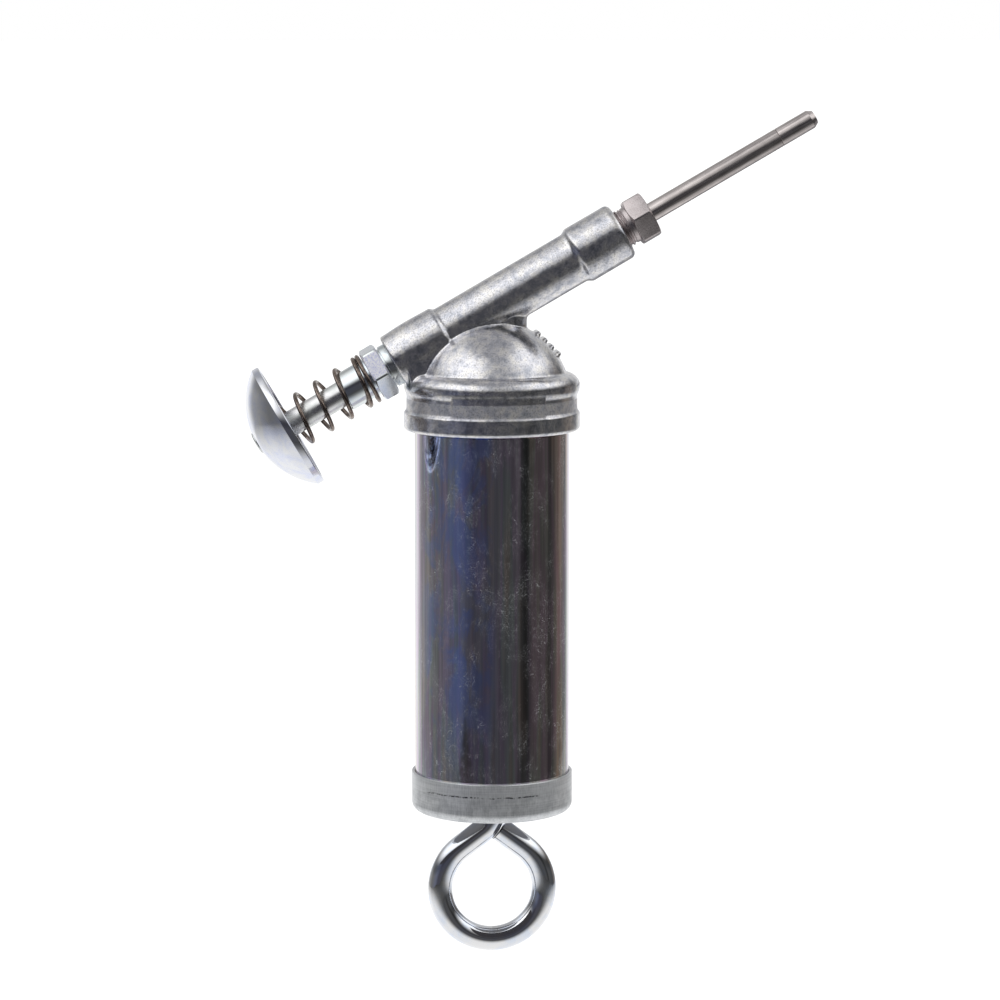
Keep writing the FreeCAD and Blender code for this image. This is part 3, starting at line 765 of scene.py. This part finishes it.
def make_head():
    """The casting, its junctions and edges melted together as a casting's are."""
    source = frame["nodes"]["pump_head"]
    mesh = source.data.copy()
    mesh.materials.clear()
    casting = bpy.data.objects.new("casting", mesh)
    bpy.context.scene.collection.objects.link(casting)
    bpy.context.view_layer.objects.active = casting
    casting.select_set(True)
    weld = casting.modifiers.new("weld", "WELD")
    weld.merge_threshold = 0.002 * MM
    remesh = casting.modifiers.new("remesh", "REMESH")
    remesh.mode = "VOXEL"
    remesh.voxel_size = 0.26 * MM
    remesh.adaptivity = 0
    for modifier in ("weld", "remesh"):
        bpy.ops.object.modifier_apply(modifier=modifier)
    melt(casting, "skin", 7)
    throat = Vector((8.2, 0, 69.3)) * MM      # where the post meets the dome and the pump tube
    melt(casting, "throat", 40, lambda p: (p - throat).length / (4.5 * MM))
    crease = Vector((-23.0, 0, 53.0)) * MM    # where the lower boss meets the upper bead
    melt(casting, "crease", 30, lambda p: math.hypot(p.x - crease.x, p.z - crease.z) / (3.5 * MM))
    casting.select_set(False)
    casting.data.shade_smooth()
    casting.data.materials.append(CAST)
    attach(casting, "head")
    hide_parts("pump_head")


def dress_cad_nodes():
    """Finishes for the CAD nodes that stay as they are."""
    worn = {
        "end_cap": CAP_PLATE,
        "pull_rod": RING_PLATE,
        "check_ball": RING_PLATE,
        "follower_back_plate": INNER_STEEL,
        "follower_washer": INNER_STEEL,
        "follower_nut": INNER_STEEL,
        "follower_cup": RUBBER,
        "barrel_gasket": RUBBER,
        "gland_o_ring": RUBBER,
        "piston_o_ring": RUBBER,
    }
    for name, material in worn.items():
        mesh = frame["nodes"][name].data
        mesh.materials.clear()
        mesh.materials.append(material)


# ---------------------------------------------------------------- studio
CAMERA_TURN = math.radians(-5.3)     # round from square-on, towards the knob
CAMERA_AWAY = 0.922                  # level distance from the barrel's axis
CAMERA_ABOVE = 0.0735                # above where the pump meets the barrel
CAMERA_TILT = math.radians(7.5)
CAMERA_LENS = 135.9
AIM_RIGHT = 0.002


def level(turn, elevation=0.0):
    """Direction at an angle round from the camera's side and above the horizon."""
    flat = math.cos(elevation)
    return Vector((math.sin(turn) * flat, -math.cos(turn) * flat, math.sin(elevation)))


def make_camera():
    camera = bpy.data.cameras.new("camera")
    camera.lens = CAMERA_LENS
    camera.sensor_width = 36
    camera.clip_start, camera.clip_end = 0.05, 50
    holder = bpy.data.objects.new("camera", camera)
    bpy.context.scene.collection.objects.link(holder)
    holder.location = level(CAMERA_TURN) * CAMERA_AWAY + Vector((0, 0, CROSSING.z + CAMERA_ABOVE))
    right = Vector((math.cos(CAMERA_TURN), math.sin(CAMERA_TURN), 0))
    flat = right * AIM_RIGHT - Vector((holder.location.x, holder.location.y, 0))
    look = flat.normalized() * math.cos(CAMERA_TILT) - Vector((0, 0, math.sin(CAMERA_TILT)))
    holder.rotation_mode = "QUATERNION"
    holder.rotation_quaternion = look.to_track_quat("-Z", "Y")
    bpy.context.scene.camera = holder


def make_world():
    """Soft studio: white backdrop behind, a dim room in front, two large soft lights overhead."""
    world = bpy.data.worlds.new("studio")
    world.use_nodes = True
    tree = world.node_tree
    background = tree.nodes["Background"]

    def node(kind, **values):
        made = tree.nodes.new(kind)
        for key, value in values.items():
            setattr(made, key, value)
        return made

    def link(source, target, socket):
        tree.links.new(source, target.inputs[socket])

    def around_ramp(stops):
        """Colours by the angle round from the camera's side, in degrees, positive to the right."""
        made = node("ShaderNodeValToRGB")
        elements = made.color_ramp.elements
        while len(elements) < len(stops):
            elements.new(0.5)
        for element, (angle, colour) in zip(elements, stops):
            element.position = 0.5 + angle / 360
            element.color = (*colour, 1) if isinstance(colour, tuple) else (*[colour] * 3, 1)
        link(share.outputs[0], made, "Fac")
        return made.outputs["Color"]

    def rising(low, high):
        """0 below one elevation and 1 above another, in degrees."""
        made = node("ShaderNodeMapRange", interpolation_type="SMOOTHSTEP")
        made.inputs["From Min"].default_value = math.radians(low)
        made.inputs["From Max"].default_value = math.radians(high)
        link(elevation.outputs[0], made, "Value")
        return made.outputs[0]

    def over(factor, under, colour, blend="MIX"):
        made = node("ShaderNodeMix", data_type="RGBA", blend_type=blend)
        link(factor, made, 0)
        link(under, made, 6)
        if isinstance(colour, tuple):
            made.inputs[7].default_value = (*colour, 1)
        else:
            link(colour, made, 7)
        return made.outputs[2]

    turned = node("ShaderNodeVectorRotate", rotation_type="Z_AXIS")
    turned.inputs["Angle"].default_value = -CAMERA_TURN
    link(node("ShaderNodeTexCoord").outputs["Generated"], turned, "Vector")
    parts = node("ShaderNodeSeparateXYZ")
    link(turned.outputs[0], parts, "Vector")
    elevation = node("ShaderNodeMath", operation="ARCSINE")
    link(parts.outputs["Z"], elevation, 0)
    flip = node("ShaderNodeMath", operation="MULTIPLY")
    flip.inputs[1].default_value = -1
    link(parts.outputs["Y"], flip, 0)
    around = node("ShaderNodeMath", operation="ARCTAN2")
    link(parts.outputs["X"], around, 0)
    link(flip.outputs[0], around, 1)
    share = node("ShaderNodeMapRange")
    share.inputs["From Min"].default_value = -math.pi
    share.inputs["From Max"].default_value = math.pi
    link(around.outputs[0], share, "Value")

    room = around_ramp([
        (-150, 1.0),                    # backdrop's left edge
        (-130, 0.35),
        (-90, 0.15),                    # side wall
        (-50, (0.12, 0.13, 0.18)),      # cool daylight from a window
        (-30, (0.06, 0.06, 0.08)),      # dark part behind the camera
        (40, 0.07),
        (52, 0.03),                     # black stand
        (65, 0.08),
        (105, 0.07),
        (120, (0.2, 0.17, 0.15)),       # warm side wall
        (140, 0.2),
        (158, 1.0),                     # backdrop's right edge
    ])
    lights = around_ramp([
        (-140, 0.4),
        (-100, 1.0),
        (-60, 1.4),                     # large soft light to the left
        (-25, 1.2),
        (0, 0.45),
        (30, 0.5),
        (75, 1.2),                      # and a smaller one to the right
        (110, 1.2),
        (140, 0.5),
    ])
    dimmed = over(rising(1, 9), room, (0.65, 0.65, 0.65), "MULTIPLY")
    lit = over(rising(12, 36), dimmed, lights)
    link(over(rising(56, 72), lit, (0.38, 0.38, 0.39)), background, "Color")
    background.inputs["Strength"].default_value = 1.0
    bpy.context.scene.world = world


def sheet(name, height, front, back, left, right):
    """Flat level sheet."""
    mesh = bpy.data.meshes.new(name)
    plan = [(left, front), (right, front), (right, back), (left, back)]
    corners = [(x, y, height) for x, y in plan]
    mesh.from_pydata(corners, [], [(0, 1, 2, 3)])
    made = bpy.data.objects.new(name, mesh)
    bpy.context.scene.collection.objects.link(made)
    return made


def for_gloss_only(piece):
    """Shows a stage piece in reflections and nowhere else."""
    for ray in ("camera", "diffuse", "transmission", "shadow", "volume_scatter"):
        setattr(piece, "visible_" + ray, False)


def make_table_glow():
    """What polished metal sees below it: bright close by and behind, dim further in front."""
    size = 0.62
    glow = sheet("table_glow", cad_box[0].z - 0.1, -size, size, -size, size)
    paint = Metal("table_glow", (0, 0, 0), 1.0, metallic=0.0)
    back = paint.axis("Y")
    ahead = paint.math("MAXIMUM", paint.math("MULTIPLY", back, -1.0), 0.0)
    aside = paint.math("MULTIPLY", paint.axis("X"), 0.55)
    reach = paint.math("SQRT", paint.math("ADD", paint.math("MULTIPLY", ahead, ahead),
                                          paint.math("MULTIPLY", aside, aside)))
    shade = paint.ramp(paint.math("DIVIDE", reach, size), [
        (0.0, 0.85),
        (0.2, 0.8),
        (0.4, 0.4),
        (0.55, 0.18),
        (0.75, 0.09),
        (1.0, 0.05),
    ])
    behind = paint.ramp(paint.math("MULTIPLY", back, 8.0), [(0.0, 0.0), (1.0, 0.15)])
    paint.join(paint.mix(1.0, shade, behind, "ADD"), paint.surface, "Emission Color")
    paint.surface.inputs["Emission Strength"].default_value = 1.0
    paint.surface.inputs["Specular IOR Level"].default_value = 0.0
    glow.data.materials.append(paint.material)
    for_gloss_only(glow)


def card(name, height, front, back, left, right, tone, side):
    """Dim card for polished metal, clear when seen from its other side."""
    made = sheet(name, height, front, back, left, right)
    paint = Metal(name, (0, 0, 0), 1.0, metallic=0.0)
    paint.surface.inputs["Emission Color"].default_value = (*tone, 1)
    paint.surface.inputs["Emission Strength"].default_value = 1.0
    paint.surface.inputs["Specular IOR Level"].default_value = 0.0
    from_below = paint.node("ShaderNodeNewGeometry").outputs["Backfacing"]
    seen = from_below if side == "below" else paint.math("SUBTRACT", 1.0, from_below)
    paint.join(seen, paint.surface, "Alpha")
    made.data.materials.append(paint.material)
    for_gloss_only(made)


def make_cards():
    """One keeps the front light off the pull eye, one dims the room below and behind the pump."""
    card("eye_card", height=CAP_BOTTOM * MM, front=-0.11, back=-0.0205, left=-0.06, right=0.022,
         tone=(0.04, 0.038, 0.042), side="below")
    card("pump_card", height=0.052, front=0.023, back=0.75, left=-0.026, right=0.6,
         tone=(0.3, 0.3, 0.31), side="above")


def make_floor():
    """Pale floor, low enough for the rod to be pulled right out above it."""
    clearance = 13 * MM
    drop = JOINTS["follower_pull"]["range_m"][1] + clearance
    floor = sheet("floor", cad_box[0].z - drop, -3.0, 30.0, -20.0, 20.0)
    pale = bpy.data.materials.new("floor")
    pale.use_nodes = True
    surface = pale.node_tree.nodes["Principled BSDF"]
    surface.inputs["Base Color"].default_value = (0.6, 0.6, 0.6, 1)
    surface.inputs["Roughness"].default_value = 1.0
    surface.inputs["Emission Color"].default_value = (1, 1, 1, 1)
    surface.inputs["Emission Strength"].default_value = 0.8
    floor.data.materials.append(pale)
    floor.visible_glossy = False


make_camera()
make_world()
make_floor()
make_table_glow()
make_cards()
bpy.context.scene.view_settings.view_transform = "Standard"

make_head()
make_knob()
make_plunger()
make_gland_nut()
make_outlet()
make_nozzle()
make_barrel()
make_return_spring()
make_check_spring()
make_follower_spring()
dress_cad_nodes()
